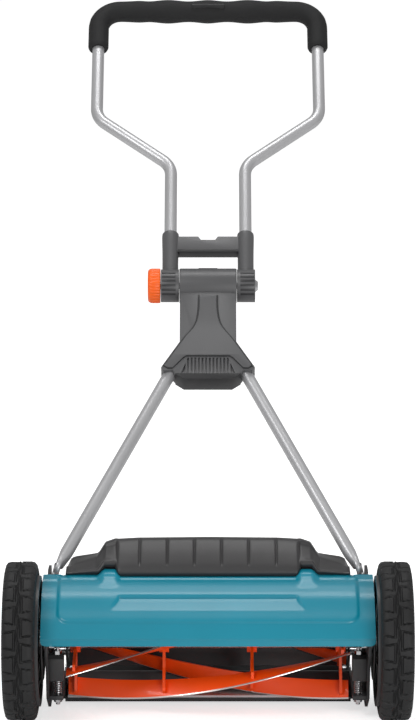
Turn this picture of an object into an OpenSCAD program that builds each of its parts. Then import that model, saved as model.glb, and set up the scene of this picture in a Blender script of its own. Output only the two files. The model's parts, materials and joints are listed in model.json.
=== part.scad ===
// Push reel mower: five-blade reel between two geared wheels, sheet cover,
// rear roller and a two-part folding handle. Millimetres, +Z up, the front faces -Y.
// The origin is on the ground, at the centre of the whole machine's footprint.

/* [Wheels] */
// Tyre diameter
wheel_d = 226; // [215:1:240]
// Tyre width
tyre_w = 46.5; // [40:0.5:52]
// Distance between the inner sides of the tyres
tyre_gap = 484; // [470:1:510]
// Rim diameter under the tyre
rim_d = 186; // [176:1:190]

/* [Reel] */
// Blade circle diameter
reel_d = 164; // [156:1:168]
// Length of the blades
reel_len = 402; // [380:1:410]
// Number of blades
blade_count = 5; // [5:1:5]
// Twist of a blade over its length in degrees
blade_twist = 98; // [60:1:120]
// Width of a blade strip
blade_w = 28; // [22:1:32]
// Thickness of a blade strip
blade_t = 2.6; // [2:0.1:4]
// Lean of a strip from the radial line in degrees
blade_lean = 15; // [5:1:25]
// Height of the blades above the ground
cut_height = 18; // [17:0.5:24]
// Gap between blades and bedknife
knife_gap = 0.4; // [0.3:0.1:1]

/* [Drive] */
// Gear module
gear_module = 2; // [2:0.1:2.2]
// Teeth of the ring gear in each wheel
ring_teeth = 50; // [48:1:52]
// Teeth of each pinion
pinion_teeth = 12; // [12:1:13]
// Reel shaft diameter
shaft_d = 15; // [14:0.5:18]
// Wheel stud diameter
stud_d = 16; // [14:0.5:18]

/* [Body] */
// Thickness of the side plates
plate_t = 4; // [3:0.5:6]
// Distance between the inner faces of the side plates
plate_gap = 452; // [440:1:454]
// Thickness of the sheet cover
cover_t = 2; // [1.2:0.2:3]
// Wall of the plastic hood
hood_t = 3; // [2:0.5:4]
// Roller diameter
roller_d = 40; // [36:1:44]
// Roller length
roller_len = 396; // [360:1:400]
// Diameter of the holes for a grass catcher
catcher_d = 8; // [6:0.5:10]

/* [Handle] */
// Lean of the handle from upright in degrees
handle_lean = 45; // [40:1:50]
// Length of the handle from its base to the middle of the grip
handle_len = 1026; // [960:1:1100]
// Outer diameter of the handle tubes
tube_d = 19; // [18:0.5:20]
// Wall of the handle tubes
tube_wall = 1.5; // [1:0.25:2.5]
// Width of the handle at the grip, between tube centres
grip_span = 350; // [320:1:380]
// Width of the neck, between tube centres
neck_span = 115; // [112:1:118]
// Grip diameter
grip_d = 33; // [28:1:36]
// Diameter of the fold joint
barrel_d = 53; // [50:1:54]
// Clamp bolt diameter
bolt_d = 10; // [8:1:12]

/* [Fits] */
// Radial clearance of running fits
run_fit = 0.05; // [0.02:0.01:0.1]
// Clearance between neighbouring pieces
gap = 0.3; // [0.2:0.05:0.5]

/* [Hidden] */
$fn = 64;
// A small overlap that lets cuts pass a face
cut = 0.5;

// Where things are: Y from the wheel axle, Z from the ground
axle_z = wheel_d / 2;
gear_centres = gear_module * (ring_teeth - pinion_teeth) / 2;
reel_r = reel_d / 2;
reel_z = cut_height + reel_r;
reel_y = sqrt(pow(gear_centres, 2) - pow(axle_z - reel_z, 2));
mesh_angle = atan2(reel_z - axle_z, reel_y);

plate_x = plate_gap / 2;
plate_out = plate_x + plate_t;
tyre_x = tyre_gap / 2;
wheel_out = tyre_x + tyre_w;
rim_in = tyre_x - 4;
web_x = tyre_x + 20;
web_t = 4;
cover_x = rim_in - 2;

// Handle plane: starts at handle_base and runs up and back
handle_base_y = 55.8;
handle_base_z = 193.8;
rear_reach = handle_base_y + handle_len * sin(handle_lean) + grip_d / 2;
axle_y = -(rear_reach - axle_z) / 2;
fold_l = 497.5;
grip_x = grip_span / 2;
neck_x = neck_span / 2;
socket_d = tube_d + 4.5;
bow_r = 35;

// Blade angle at mid-length, and degrees per millimetre
blade_start = 180 + 42.8;
blade_rate = blade_twist / reel_len;
spider_x = [-190, -63, 63, 190];
spider_t = 4;

roller_y = 150;
roller_rod_y = 120;
roller_rod_z = 58;
roller_rod_d = 12;
tie_y = 104;
tie_z = 166;
adjuster_x = 214;
adjuster_y = -10;
catcher_y = 130;
catcher_z = 100;

// Side profiles in Y and Z
cover_line = [[50, 195.7], [20, 193], [-6, 182], [-24, 167], [-40, 155.5], [-60, 134.6], [-62, 124.4]];
hood_side = [[38, 199], [47, 206], [72, 232], [88, 238], [108, 230], [124, 204], [131, 168], [131, 128],
    [90, 100], [50, 150]];
hood_front = [[-204, 90], [-204, 187], [-197, 198], [-160, 211], [-148, 234], [-128, 240],
    [128, 240], [148, 234], [160, 211], [197, 198], [204, 187], [204, 90]];
deflector_line = [[100, 42], [112, 56.5], [119.5, 74], [123, 96]];
plate_line = [[46, 190.5], [20, 188.5], [-3, 178], [-21, 163], [-37, 151], [-55, 131], [-56, 108],
    [-34, 84], [-22, 34], [30, 4], [100, 4], [140, 50], [140, 108], [112, 150], [92, 198], [60, 200]];

// Miter offset of a closed outline: positive distance grows a clockwise one
function unit(v) = v / norm(v);
function left_of(v) = [-v[1], v[0]];
function miter(a, b) = (a + b) / (1 + a * b);
function edge_normal(p, i) = left_of(unit(p[(i + 1) % len(p)] - p[(i + len(p)) % len(p)]));
function inset(p, d) = [for (i = [0:len(p) - 1])
    p[i] + d * miter(edge_normal(p, (i + len(p) - 1) % len(p)), edge_normal(p, i))];
// The same for an open line: end points move square to their only edge
function line_normal(p, i) = left_of(unit(p[i + 1] - p[i]));
function line_shift(p, d) = [for (i = [0:len(p) - 1])
    p[i] + d * miter(line_normal(p, max(i - 1, 0)), line_normal(p, min(i, len(p) - 2)))];
function reverse(p) = [for (i = [len(p) - 1:-1:0]) p[i]];
function band(p, t) = concat(p, reverse(line_shift(p, t)));

// Involute outline of an external gear; an internal gear is cut with it
function roll_angle(rb, r) = sqrt(max(pow(r / rb, 2) - 1, 0)) * 180 / PI - acos(min(rb / r, 1));
function flank(rp, r, half) = half + roll_angle(rp * cos(25), rp) - roll_angle(rp * cos(25), r);
function gear_points(teeth, m, r_low, r_top, half) = [for (i = [0:teeth - 1]) let (c = i * 360 / teeth)
    each concat([for (r = [r_low:(r_top - r_low) / 3:r_top + 0.01]) polar(r, c - flank(teeth * m / 2, r, half))],
        [for (r = [r_top:-(r_top - r_low) / 3:r_low - 0.01]) polar(r, c + flank(teeth * m / 2, r, half))])];
function polar(r, a) = r * [cos(a), sin(a)];

// Frames
module at_axle() translate([0, axle_y, 0]) children();
// Draws a shape in Y and Z and extrudes it along X from x0 to x1
module across(x0, x1) translate([x0, 0, 0]) rotate([90, 0, 90]) linear_extrude(x1 - x0) children();
// Rod along X at a point in Y and Z
module rod(x0, x1, d, y, z) translate([x0, y, z]) rotate([0, 90, 0]) cylinder(h = x1 - x0, d = d);
module pair() { children(); mirror([1, 0, 0]) children(); }
module side_of(s) if (s > 0) children(); else mirror([1, 0, 0]) children();
// Handle frame: X across, Z up the handle, -Y towards the front
module at_handle() at_axle() translate([0, handle_base_y, handle_base_z]) rotate([-handle_lean, 0, 0])
    children();

// Tube along a flat path of points, with every corner bent to the same radius
module bent_tube(p, bend, d, bore) {
    dirs = [for (i = [0:len(p) - 2]) unit(p[i + 1] - p[i])];
    turns = [for (i = [1:len(p) - 2]) asin(dirs[i - 1][0] * dirs[i][1] - dirs[i - 1][1] * dirs[i][0])];
    trims = concat([0], [for (t = turns) bend * tan(abs(t) / 2)], [0]);
    rotate([90, 0, 0]) {
        for (i = [0:len(p) - 2]) {
            from = p[i] + trims[i] * dirs[i];
            span = norm(p[i + 1] - p[i]) - trims[i] - trims[i + 1];
            translate([from[0], from[1], 0]) rotate([0, 90, atan2(dirs[i][1], dirs[i][0])])
                linear_extrude(span) ring(d, bore);
        }
        for (i = [0:len(turns) - 1]) {
            s = sign(turns[i]);
            from = p[i + 1] - trims[i + 1] * dirs[i];
            c = from + s * bend * left_of(dirs[i]);
            start = atan2(dirs[i][1], dirs[i][0]) - s * 90;
            translate([c[0], c[1], 0]) rotate([0, 0, s > 0 ? start : start + turns[i]])
                rotate_extrude(angle = abs(turns[i])) translate([bend, 0]) ring(d, bore);
        }
    }
}
// The same path as a list of points with a short straight at each end of every bend
bend_steps = 5;
function bend_points(a, p, b, r) = let (u = unit(p - a), v = unit(b - p),
    turn = asin(u[0] * v[1] - u[1] * v[0]), s = sign(turn), from = p - r * tan(abs(turn) / 2) * u,
    c = from + s * r * left_of(u), start = atan2(u[1], u[0]) - s * 90)
    [for (k = [0:bend_steps]) c + polar(r, start + turn * k / bend_steps)];
function bent_path(p, r) = concat([p[0]],
    [for (i = [1:len(p) - 2]) each bend_points(p[i - 1], p[i], p[i + 1], r)], [p[len(p) - 1]]);
function path_dir(p, i) = unit(p[min(i + 1, len(p) - 1)] - p[max(i - 1, 0)]);
sides = 20;
function path_ring(c, n, d) = [for (k = [0:sides - 1])
    [c[0] + n[0] * d / 2 * cos(k * 360 / sides), d / 2 * sin(k * 360 / sides),
        c[1] + n[1] * d / 2 * cos(k * 360 / sides)]];
// Hollow tube swept along a bent path as one mesh
module swept_tube(p, bend, d, bore) {
    line = bent_path(p, bend);
    count = len(line);
    wall = [for (size = [d, bore]) each [for (i = [0:count - 1]) each
        path_ring(line[i], left_of(path_dir(line, i)), size)]];
    function at(layer, i, k) = (layer * count + i) * sides + k % sides;
    side_faces = [for (i = [0:count - 2]) for (k = [0:sides - 1]) each [
        [at(0, i, k), at(0, i + 1, k), at(0, i + 1, k + 1)], [at(0, i, k), at(0, i + 1, k + 1), at(0, i, k + 1)],
        [at(1, i, k), at(1, i + 1, k + 1), at(1, i + 1, k)], [at(1, i, k), at(1, i, k + 1), at(1, i + 1, k + 1)]]];
    end_faces = [for (k = [0:sides - 1]) each [
        [at(0, 0, k), at(0, 0, k + 1), at(1, 0, k + 1)], [at(0, 0, k), at(1, 0, k + 1), at(1, 0, k)],
        [at(0, count - 1, k), at(1, count - 1, k + 1), at(0, count - 1, k + 1)],
        [at(0, count - 1, k), at(1, count - 1, k), at(1, count - 1, k + 1)]]];
    polyhedron(points = wall, faces = [for (f = concat(side_faces, end_faces)) reverse(f)]);
}
module ring(d, bore) difference() { circle(d = d); circle(d = bore); }

// ---- Frame of the machine ----
module side_plate(s) at_axle() side_of(s) color("dimgray") {
    plate_sheet();
    difference() {
        translate([tab_x - 7, tab_y - 9, tab_z]) cube([plate_x - tab_x + 7.5, 18, 3]);
        translate([tab_x, tab_y, tab_z - cut]) cylinder(h = 4, d = tab_screw_d + 2 * run_fit);
    }
}
module plate_sheet() across(plate_x, plate_out) difference() {
    polygon(plate_line);
    translate([0, axle_z]) circle(d = stud_d + 2 * run_fit);
    translate([reel_y, reel_z]) circle(d = shaft_d + 13 + 2 * run_fit);
    for (z = handle_bolt_z) translate([handle_bolt_y, z]) circle(d = handle_bolt_d + 2 * run_fit);
    translate([roller_rod_y, roller_rod_z]) circle(d = roller_rod_d - 2);
    translate([tie_y, tie_z]) circle(d = tie_rod_d - 2);
    translate([catcher_y, catcher_z]) circle(d = catcher_d);
    translate(carrier_bolt) circle(d = 8 + 2 * run_fit);
    translate([88, 130]) circle(d = 26);
}
tie_rod_d = 12;
tab_x = plate_x - 6;
tab_y = 34;
tab_z = 186;
tab_screw_d = 5;
handle_bolt_d = 8;
handle_bolt_y = 68;
handle_bolt_z = [150, 182];
carrier_bolt = [88, 16];

module side_plate_left() side_plate(-1);
module side_plate_right() side_plate(1);

// Pressed sheet over the reel
module top_cover() at_axle() color([0, 0.6, 0.69])
    across(-cover_x, cover_x) polygon(band(cover_line, cover_t));

// Screws that hold the cover from below, through the tabs of the side plates
module cover_screws() at_axle() color("silver") pair() translate([tab_x, tab_y, tab_z - gap]) {
    cylinder(h = 5.5, d = tab_screw_d);
    translate([0, 0, -3.5]) cylinder(h = 3.5, d = 9);
}

// Plastic hood behind the cover, open below
module hood_block(t) intersection() {
    across(-220, 220) polygon(inset(hood_side, -t));
    rotate([90, 0, 0]) translate([0, 0, -200]) linear_extrude(300) polygon(inset(hood_front, -t));
}
module rear_hood() at_axle() color([0.16, 0.16, 0.17]) difference() {
    hood_block(0);
    hood_block(hood_t);
    rod(-230, 230, tie_rod_d + 2 * gap, tie_y, tie_z);
    across(-230, 230) polygon([[30, 196], [30, 80], [140, 80], [140, 128], [127, 128], [60, 196]]);
}
module deflector() at_axle() color([0.18, 0.18, 0.19])
    across(1 - bracket_in, bracket_in - 1) polygon(band(deflector_line, 2.5));

// Rods that tie the side plates together, shouldered at each plate
module shouldered_rod(d, y, z) {
    rod(-plate_x, plate_x, d, y, z);
    rod(-plate_out - 5, plate_out + 5, d - 2.2, y, z);
}
module tie_rod() at_axle() color("silver") shouldered_rod(tie_rod_d, tie_y, tie_z);
module roller_rod() at_axle() color("silver") shouldered_rod(roller_rod_d, roller_rod_y, roller_rod_z);

// ---- Bedknife and its adjusters ----
knife_top = reel_z - reel_r - knife_gap;
knife_t = 5;
knife_y = 40;
arm_in = plate_x - 20;
module carrier_outline() polygon([[knife_y + 8, knife_top - knife_t - 7], [98, knife_top - knife_t - 7], [98, 36],
    [94, 36], [86, knife_top + 2], [84.5, knife_top - knife_t], [knife_y + 8, knife_top - knife_t]]);
module bedknife_carrier() at_axle() color([0.3, 0.3, 0.31]) difference() {
    union() {
        across(-arm_in - cut, arm_in + cut) carrier_outline();
        pair() across(arm_in, plate_x - gap) polygon([[adjuster_y - 10, 31], [adjuster_y - 10, 37], [60, 37],
            [98, 36], [98, knife_top - knife_t - 7], [60, knife_top - knife_t - 7], [30, 31]]);
    }
    pair() translate([adjuster_x, adjuster_y, 20]) cylinder(h = 30, d = 6 + 2 * run_fit);
    pair() rod(arm_in + 4, plate_x + cut, 8 + 2 * run_fit, carrier_bolt[0], carrier_bolt[1]);
    for (x = knife_screw_x) translate([x, knife_screw_y, 0]) cylinder(h = 30, d = 6 + 2 * run_fit);
}
knife_screw_x = [for (i = [-2:2]) i * 88];
knife_screw_y = 72;
module bedknife() at_axle() color([0.75, 0.76, 0.78]) difference() {
    across(-reel_len / 2 - 1, reel_len / 2 + 1) polygon([[knife_y, knife_top], [knife_y, knife_top - 3],
        [knife_y + 6, knife_top - knife_t], [84, knife_top - knife_t], [84, knife_top]]);
    for (x = knife_screw_x) translate([x, knife_screw_y, 0]) cylinder(h = 30, d = 6 + 2 * run_fit);
}
module bedknife_screws() at_axle() color("silver") for (x = knife_screw_x)
    translate([x, knife_screw_y, knife_top - knife_t - 11]) {
        cylinder(h = knife_t + 11 - 0.4, d = 6);
        cylinder(h = 3.7, d = 11, $fn = 6);
    }
module carrier_bolts() at_axle() color("silver") pair() {
    rod(arm_in + 6, plate_out + 4, 8, carrier_bolt[0], carrier_bolt[1]);
    translate([plate_out + gap, carrier_bolt[0], carrier_bolt[1]]) rotate([0, 90, 0])
        cylinder(h = 5, d = 14, $fn = 6);
}
module adjuster_blocks() at_axle() color([0.15, 0.15, 0.16]) pair() difference() {
    across(adjuster_x - 9, plate_x - gap) polygon([[adjuster_y - 10, 59], [adjuster_y - 10, 92],
        [adjuster_y - 5, 97], [adjuster_y + 6, 97], [adjuster_y + 10, 92], [adjuster_y + 10, 66],
        [adjuster_y + 6, 59]]);
    translate([adjuster_x, adjuster_y, 50]) cylinder(h = 60, d = 6 + 2 * run_fit);
}
module adjuster_screws() at_axle() color("silver") pair() translate([adjuster_x, adjuster_y, 0]) {
    translate([0, 0, 22]) cylinder(h = 84, d = 6);
    translate([0, 0, 97 + gap]) cylinder(h = 5, d = 12, $fn = 6);
    translate([0, 0, 31 - gap - 5]) cylinder(h = 5, d = 12, $fn = 6);
}
// Compression springs between the blocks and the arms of the carrier
module adjuster_springs() at_axle() color("gainsboro") pair() translate([adjuster_x, adjuster_y, 37 + gap])
    linear_extrude(height = 59 - 37 - 2 * gap, twist = -360 * 5, slices = 60, segments = 6)
        translate([5, 0]) circle(d = 2.2, $fn = 6);

// ---- Wheel studs, bearings and gear covers ----
stud_flange = 3;
stud_end = web_x + 18;
module axle_stud(s) at_axle() side_of(s) color("silver") {
    rod(plate_x - 9, stud_end, stud_d, 0, axle_z);
    rod(plate_out + gap, plate_out + gap + stud_flange, stud_d + 12, 0, axle_z);
    rod(stud_end - 2.5, stud_end - 0.8, stud_d + 8, 0, axle_z);
}
module axle_stud_left() axle_stud(-1);
module axle_stud_right() axle_stud(1);
module axle_nuts() at_axle() color("silver") pair() difference() {
    translate([plate_x - gap - 7, 0, axle_z]) rotate([0, 90, 0]) cylinder(h = 7, d = 27, $fn = 6);
    rod(plate_x - 10, plate_x + cut, stud_d + 2 * run_fit, 0, axle_z);
}
module bearing(s) at_axle() side_of(s) color("lightgray") difference() {
    union() {
        rod(plate_x - 5, plate_out, shaft_d + 13, reel_y, reel_z);
        rod(plate_x - 5, plate_x - gap, shaft_d + 17, reel_y, reel_z);
    }
    rod(plate_x - 6, plate_out + cut, shaft_d + 2 * run_fit, reel_y, reel_z);
}
module bearing_left() bearing(-1);
module bearing_right() bearing(1);
gear_cover_x = plate_out + gap + stud_flange + gap;
module gear_covers() at_axle() color([0.2, 0.2, 0.21]) pair() difference() {
    rod(gear_cover_x, gear_cover_x + 1.6, 110, 0, axle_z);
    rod(plate_out, tyre_x, stud_d + 0.6, 0, axle_z);
    rod(plate_out, tyre_x, shaft_d + 1.4, reel_y, reel_z);
}

// ---- Reel ----
journal_x = plate_x - 6;
drive_d = shaft_d - 3;
pinion_x = tyre_x + 1;
pinion_w = 13;
drive_end = pinion_x + pinion_w + 3;
key_x = pinion_x + 4;
module reel_shaft() at_axle() color("silver") difference() {
    union() {
        rod(-journal_x, journal_x, shaft_d + 3, reel_y, reel_z);
        rod(-plate_out - 2, plate_out + 2, shaft_d, reel_y, reel_z);
        rod(-drive_end, drive_end, drive_d, reel_y, reel_z);
        pair() rod(drive_end - 2.4, drive_end - 1.2, drive_d + 5, reel_y, reel_z);
    }
    pair() translate([key_x, reel_y - 2.1, reel_z - 20]) cube([4.2, 4.2, 40]);
}
module pawl_keys() at_axle() color("gray") pair() translate([key_x + 0.1, reel_y - 2, reel_z - drive_d / 2 + gap])
    cube([4, 4, drive_d - 2 * gap]);

// Draws in the section plane of blade n at place x: first axis outward along the blade's radius
module at_blade(n, x) translate([x, reel_y, reel_z]) rotate([90, 0, 90])
    rotate([0, 0, blade_start + n * 360 / blade_count - x * blade_rate]) children();
function strip_point(along, out) = [reel_r, 0] + along * [-cos(blade_lean), sin(blade_lean)]
    + out * [sin(blade_lean), cos(blade_lean)];
module strip_section() polygon([[reel_r, 0], strip_point(blade_w, 0), strip_point(blade_w, -blade_t),
    strip_point(2.5, -blade_t)]);
module blade(n) at_axle() color([0.93, 0.33, 0.1]) at_blade(n, -reel_len / 2)
    linear_extrude(height = reel_len, twist = blade_twist, slices = 44, segments = 4) strip_section();
module blade_1() blade(0);
module blade_2() blade(1);
module blade_3() blade(2);
module blade_4() blade(3);
module blade_5() blade(4);

// Star plate whose legs lie along the back of each blade strip
leg_gap = 0.9;
module spider_leg() polygon([[6, -9], strip_point(blade_w + 12, -blade_t - 14),
    strip_point(9, -blade_t - leg_gap - 9), strip_point(6, -blade_t - leg_gap - 6),
    strip_point(6, -blade_t - leg_gap), strip_point(blade_w + 2, -blade_t - leg_gap),
    strip_point(blade_w + 14, -blade_t + 3), [6, 9]]);
module spider(i) at_axle() color([0.9, 0.32, 0.1]) difference() {
    union() {
        rod(spider_x[i] - 7, spider_x[i] + 7, shaft_d + 15, reel_y, reel_z);
        translate([spider_x[i] - spider_t / 2, reel_y, reel_z]) rotate([90, 0, 90]) linear_extrude(spider_t)
            union() {
                circle(d = shaft_d + 13);
                for (n = [0:blade_count - 1])
                    rotate(blade_start + n * 360 / blade_count - spider_x[i] * blade_rate) spider_leg();
            }
    }
    rod(-reel_len, reel_len, shaft_d + 3 + 2 * run_fit, reel_y, reel_z);
}
module spider_1() spider(0);
module spider_2() spider(1);
module spider_3() spider(2);
module spider_4() spider(3);

// ---- Gears in the wheels ----
addendum = 0.65 * gear_module;
backlash = 0.7;
module pinion(s) at_axle() side_of(s) color("gray") translate([pinion_x, reel_y, reel_z]) rotate([90, 0, 90])
    difference() {
        linear_extrude(pinion_w) rotate([0, 0, mesh_angle]) polygon(gear_points(pinion_teeth, gear_module,
            pinion_teeth * gear_module / 2 - addendum - 0.4, pinion_teeth * gear_module / 2 + addendum,
            90 / pinion_teeth - backlash));
        translate([0, 0, -cut]) cylinder(h = pinion_w + 1, d = drive_d + 2 * run_fit);
        translate([0, 0, 3]) for (a = [0, 90]) rotate([0, 0, a]) translate([-7.6, -2.4, 0]) cube([15.2, 4.8, 6]);
    }
module pinion_left() pinion(-1);
module pinion_right() pinion(1);

ring_outer = gear_module * ring_teeth + 16;
module ring_gear(s) at_axle() side_of(s) color("gray") translate([tyre_x, 0, axle_z]) rotate([90, 0, 90])
    linear_extrude(web_x - tyre_x) difference() {
        circle(d = ring_outer);
        rotate([0, 0, mesh_angle]) polygon(gear_points(ring_teeth, gear_module,
            ring_teeth * gear_module / 2 - addendum, ring_teeth * gear_module / 2 + addendum + 0.4,
            90 / ring_teeth));
    }
module ring_gear_left() ring_gear(-1);
module ring_gear_right() ring_gear(1);

// ---- Wheels ----
// Turns a profile of distance from the axle and place along X about the wheel axle
module wheel_turned() translate([0, 0, axle_z]) rotate([0, 90, 0]) rotate_extrude($fn = 96) children();
hub_d = stud_d + 18;
hub_in = tyre_x - 2;
hub_out = stud_end - 3 - gap;
module rim(s) at_axle() side_of(s) color([0.3, 0.3, 0.31]) {
    wheel_turned() {
        translate([rim_d / 2 - 9, rim_in]) square([9, wheel_out - 6 - rim_in]);
        translate([hub_d / 2 - 1, web_x]) square([rim_d / 2 - hub_d / 2 - 5, web_t]);
        translate([stud_d / 2 + 2 + run_fit, hub_in]) square([hub_d / 2 - stud_d / 2 - 2 - run_fit, hub_out - hub_in]);
        translate([ring_outer / 2 + run_fit, web_x - 12]) square([4, 12 + cut]);
    }
    for (a = [0:30:330]) translate([web_x + web_t - cut, 0, axle_z]) rotate([a, 0, 0])
        translate([0, -1.5, hub_d / 2 + 8]) cube([8, 3, rim_d / 2 - hub_d / 2 - 16]);
}
module rim_left() rim(-1);
module rim_right() rim(1);
module hub_bush(s) at_axle() side_of(s) color("tan") difference() {
    rod(hub_in, hub_out, stud_d + 4, 0, axle_z);
    rod(hub_in - 1, hub_out + 1, stud_d + 2 * run_fit, 0, axle_z);
}
module hub_bush_left() hub_bush(-1);
module hub_bush_right() hub_bush(1);
cap_in = web_x + web_t + gap;
module hub_cap(s) at_axle() side_of(s) color([0.25, 0.25, 0.26]) wheel_turned() polygon([
    [hub_d / 2 + gap, cap_in], [hub_d / 2 + gap + 3, cap_in], [hub_d / 2 + gap + 3, stud_end + 1],
    [hub_d / 2 - 3, stud_end + 4], [0, stud_end + 5], [0, stud_end + 2], [hub_d / 2 + gap, stud_end + 1]]);
module hub_cap_left() hub_cap(-1);
module hub_cap_right() hub_cap(1);
shoulder = 6;
module tyre(s) at_axle() side_of(s) color([0.12, 0.12, 0.13]) wheel_turned() polygon([
    [rim_d / 2 + run_fit, tyre_x + 3], [axle_z - 13, tyre_x], [axle_z - shoulder, tyre_x + 1],
    [axle_z - 1, tyre_x + shoulder], [axle_z, tyre_x + shoulder + 6], [axle_z, wheel_out - shoulder - 6],
    [axle_z - 1, wheel_out - shoulder], [axle_z - shoulder, wheel_out - 1], [axle_z - 13, wheel_out],
    [rim_d / 2 + run_fit, wheel_out - 3]]);
module tyre_left() tyre(-1);
module tyre_right() tyre(1);

// ---- Roller ----
bracket_in = roller_len / 2 + 6;
module roller_bracket(s) at_axle() side_of(s) color("dimgray") across(bracket_in, bracket_in + 4) difference() {
    polygon([[roller_y - 2, roller_d / 2 - 12], [roller_y + 10, roller_d / 2 - 8],
        [roller_y + 12, roller_d / 2 + 4], [roller_rod_y + 12, roller_rod_z + 6],
        [roller_rod_y + 2, roller_rod_z + 13], [roller_rod_y - 9, roller_rod_z + 8],
        [roller_rod_y - 10, roller_rod_z - 6], [roller_y - 13, roller_d / 2 - 4]]);
    translate([roller_rod_y, roller_rod_z]) circle(d = roller_rod_d + 2 * run_fit);
    translate([roller_y, roller_d / 2]) circle(d = 10 + 2 * run_fit);
}
module roller_bracket_left() roller_bracket(-1);
module roller_bracket_right() roller_bracket(1);
module roller() at_axle() color([0.2, 0.2, 0.21]) difference() {
    rod(-roller_len / 2, roller_len / 2, roller_d, roller_y, roller_d / 2);
    rod(-roller_len / 2 - 1, roller_len / 2 + 1, 10 + 2 * run_fit, roller_y, roller_d / 2);
    for (x = [-1.5:1:1.5]) rod(x * roller_len / 4 - 2, x * roller_len / 4 + 2, 60, roller_y, 200);
}
module roller_axle() at_axle() color("silver") {
    rod(-bracket_in - 7, bracket_in + 7, 10, roller_y, roller_d / 2);
    pair() rod(bracket_in + 4 + gap, bracket_in + 7, 15, roller_y, roller_d / 2);
}

// ---- Lower handle ----
tube_r = tube_d / 2;
leg_slope = 0.4846;
leg_low_l = 22;
leg_top_l = 385;
leg_top_x = 35;
leg_low_x = leg_top_x + leg_slope * (leg_top_l - leg_low_l);
leg_lean = atan(leg_slope);
module leg_rod(l0, l1, d) translate([leg_top_x + leg_slope * (leg_top_l - l0), 0, l0])
    rotate([0, -leg_lean, 0]) cylinder(h = (l1 - l0) / cos(leg_lean), d = d);
strap_t = 7;
strap_out = plate_x - gap;
// Tube with its lower end pressed flat and bolted to the side plate
module handle_tube(s) side_of(s) color("silver") {
    at_handle() difference() {
        leg_rod(leg_low_l, leg_top_l, tube_d);
        leg_rod(leg_low_l + 6, leg_top_l + 1, tube_d - 2 * tube_wall);
    }
    hull() {
        at_handle() leg_rod(leg_low_l - 1, leg_low_l + 3, tube_d - 0.7, $fn = 28);
        at_axle() translate([strap_out - strap_t + 0.4, handle_bolt_y - 10.5, 188])
            cube([strap_t - 0.8, 21, 2]);
    }
    at_axle() across(strap_out - strap_t, strap_out) difference() {
        union() {
            translate([handle_bolt_y - 11, handle_bolt_z[0]]) square([22, 194.5 - handle_bolt_z[0]]);
            translate([handle_bolt_y, handle_bolt_z[0]]) circle(r = 11);
        }
        for (z = handle_bolt_z) translate([handle_bolt_y, z]) circle(d = handle_bolt_d + 2 * run_fit);
    }
}
module handle_tube_left() handle_tube(-1);
module handle_tube_right() handle_tube(1);
module handle_bolts() at_axle() color("silver") pair() for (z = handle_bolt_z) {
    rod(strap_out - strap_t - gap, plate_out + 6, handle_bolt_d, handle_bolt_y, z);
    rod(strap_out - strap_t - gap - 4, strap_out - strap_t - gap, handle_bolt_d + 7, handle_bolt_y, z);
    translate([plate_out + gap, handle_bolt_y, z]) rotate([0, 90, 0]) cylinder(h = 4.5, d = 14, $fn = 6);
}

// Two plastic halves that clamp the tops of the tubes and carry the fold joint
bracket_d = 16;
bracket_low_l = 322;
wing_x = 42.5;
module bracket_outline() polygon([[-36, bracket_low_l], [36, bracket_low_l], [48, 331], [52, 337], [66, 337],
    [70, 342], [wing_x, 387], [wing_x, 480], [-wing_x, 480], [-wing_x, 387], [-70, 342], [-66, 337],
    [-52, 337], [-48, 331]]);
module bracket_half(y0, y1) difference() {
    translate([0, y1, 0]) rotate([90, 0, 0]) linear_extrude(y1 - y0) bracket_outline();
    pair() leg_rod(bracket_low_l - 30, leg_top_l + gap, tube_d + 2 * gap);
    rod(-wing_x - 1, wing_x + 1, barrel_d + 2 * gap, 0, fold_l);
    for (p = bracket_screw_at) translate([p[0], 30, p[1]]) rotate([90, 0, 0])
        cylinder(h = 30 + bracket_d - 4 + gap, d = 5 + 2 * run_fit);
}
bracket_screw_at = [[-18, 388], [18, 388], [-28, 452], [28, 452]];
module bracket_front() at_handle() color([0.27, 0.28, 0.29]) difference() {
    bracket_half(-bracket_d, 0);
    // Ribbed recess above the lower lip
    difference() {
        translate([0, -bracket_d + 4, 0]) rotate([90, 0, 0]) linear_extrude(5)
            polygon([[-40, 332], [40, 332], [30, 359], [-30, 359]]);
        for (i = [-6:6]) translate([i * 5.4 - 1.2, -bracket_d, 326]) cube([2.4, 5, 36]);
    }
}
module bracket_back() at_handle() color([0.2, 0.2, 0.21]) bracket_half(0, bracket_d);
module bracket_screws() at_handle() color("silver") for (p = bracket_screw_at) translate([p[0], 0, p[1]])
    rotate([-90, 0, 0]) {
        translate([0, 0, -bracket_d + 4]) cylinder(h = 2 * bracket_d - 4 + gap, d = 5);
        translate([0, 0, bracket_d + gap]) cylinder(h = 3, d = 9);
    }
barrel_x = 43.5;
module hinge_barrel() at_handle() color([0.25, 0.26, 0.27]) difference() {
    rod(-barrel_x, barrel_x, barrel_d, 0, fold_l);
    rod(-barrel_x - 1, barrel_x + 1, bolt_d + 2 * run_fit, 0, fold_l);
}

// ---- Upper handle ----
cap_gap = 0.6;
yoke_out = neck_x + 14;
socket_low_l = 526;
socket_top_l = 592;
crossbar_d = 13;
module handle_yoke() at_handle() color([0.25, 0.26, 0.27]) difference() {
    union() {
        pair() {
            rod(barrel_x + cap_gap, yoke_out, barrel_d - 3, 0, fold_l);
            translate([neck_x, 0, fold_l]) cylinder(h = socket_top_l - fold_l, d = socket_d);
        }
        translate([0, crossbar_d / 2, 0]) rotate([90, 0, 0]) linear_extrude(crossbar_d) polygon([[-neck_x, 556], [neck_x, 556],
            [neck_x, 584], [15, 584], [11, 578], [-11, 578], [-15, 584], [-neck_x, 584]]);
    }
    pair() translate([neck_x, 0, socket_low_l + 6]) cylinder(h = 80, d = tube_d + 2 * run_fit);
    rod(-yoke_out - 1, yoke_out + 1, bolt_d + 2 * run_fit, 0, fold_l);
}
elbow_low_l = 721;
elbow_top_l = 814;
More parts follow.
